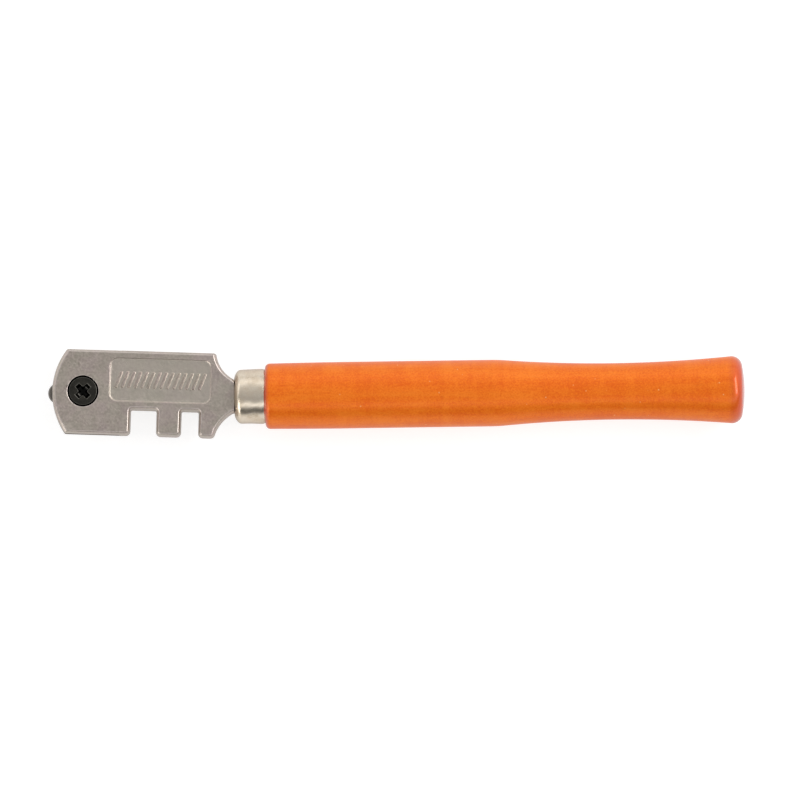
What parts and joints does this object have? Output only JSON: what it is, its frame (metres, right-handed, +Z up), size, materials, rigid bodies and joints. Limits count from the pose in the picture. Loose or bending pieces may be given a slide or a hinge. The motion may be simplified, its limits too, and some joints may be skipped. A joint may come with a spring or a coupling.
{
  "type": "glass cutter",
  "caption": "Hand glass cutter with a turned wooden handle, a ferrule and a cast head that carries a turret of cutting wheels and has breaking notches.",
  "frame": {"origin": "on the surface that the cutter lies on, below the middle of its box", "axes": "+X along the handle away from the head; +Y across the head away from the breaking notches; +Z up, out of the face with the screw"},
  "size_m": [0.13, 0.0172, 0.0125],
  "materials": {
    "cast_head": "satin",
    "turret_steel": "satin",
    "wheel_steel": "polished",
    "axle_steel": "satin",
    "black_screw": "satin",
    "ferrule_nickel": "gloss",
    "handle_wood": "satin"
  },
  "bodies": {
    "body": {"head": "cast_head", "ferrule": "ferrule_nickel", "handle": "handle_wood"},
    "screw": {"clamp_screw": "black_screw"},
    "turret": {"turret": "turret_steel", "axle_1": "axle_steel", "axle_2": "axle_steel", "axle_3": "axle_steel", "axle_4": "axle_steel", "axle_5": "axle_steel", "axle_6": "axle_steel"},
    "wheel_1": {"wheel_1": "wheel_steel"},
    "wheel_2": {"wheel_2": "wheel_steel"},
    "wheel_3": {"wheel_3": "wheel_steel"},
    "wheel_4": {"wheel_4": "wheel_steel"},
    "wheel_5": {"wheel_5": "wheel_steel"},
    "wheel_6": {"wheel_6": "wheel_steel"}
  },
  "joints": [
    {"name": "screw_turn", "type": "hinge", "parent": "body", "child": "screw", "pos_m": [-0.05847, 0.00046, 0.00628], "axis": [0, 0, 1], "range_deg": [0, 360]},
    {"name": "turret_turn", "type": "hinge", "parent": "body", "child": "turret", "pos_m": [-0.05847, 0.00046, 0.00628], "axis": [0, 0, 1], "continuous": true},
    {"name": "wheel_1_spin", "type": "hinge", "parent": "turret", "child": "wheel_1", "pos_m": [-0.06301, 0.00025, 0.00628], "axis": [0, 0, 1], "continuous": true},
    {"name": "wheel_2_spin", "type": "hinge", "parent": "turret", "child": "wheel_2", "pos_m": [-0.06055, -0.00357, 0.00628], "axis": [0, 0, 1], "continuous": true},
    {"name": "wheel_3_spin", "type": "hinge", "parent": "turret", "child": "wheel_3", "pos_m": [-0.05602, -0.00336, 0.00628], "axis": [0, 0, 1], "continuous": true},
    {"name": "wheel_4_spin", "type": "hinge", "parent": "turret", "child": "wheel_4", "pos_m": [-0.05393, 0.00068, 0.00628], "axis": [0, 0, 1], "continuous": true},
    {"name": "wheel_5_spin", "type": "hinge", "parent": "turret", "child": "wheel_5", "pos_m": [-0.05639, 0.0045, 0.00628], "axis": [0, 0, 1], "continuous": true},
    {"name": "wheel_6_spin", "type": "hinge", "parent": "turret", "child": "wheel_6", "pos_m": [-0.06092, 0.00428, 0.00628], "axis": [0, 0, 1], "continuous": true}
  ]
}
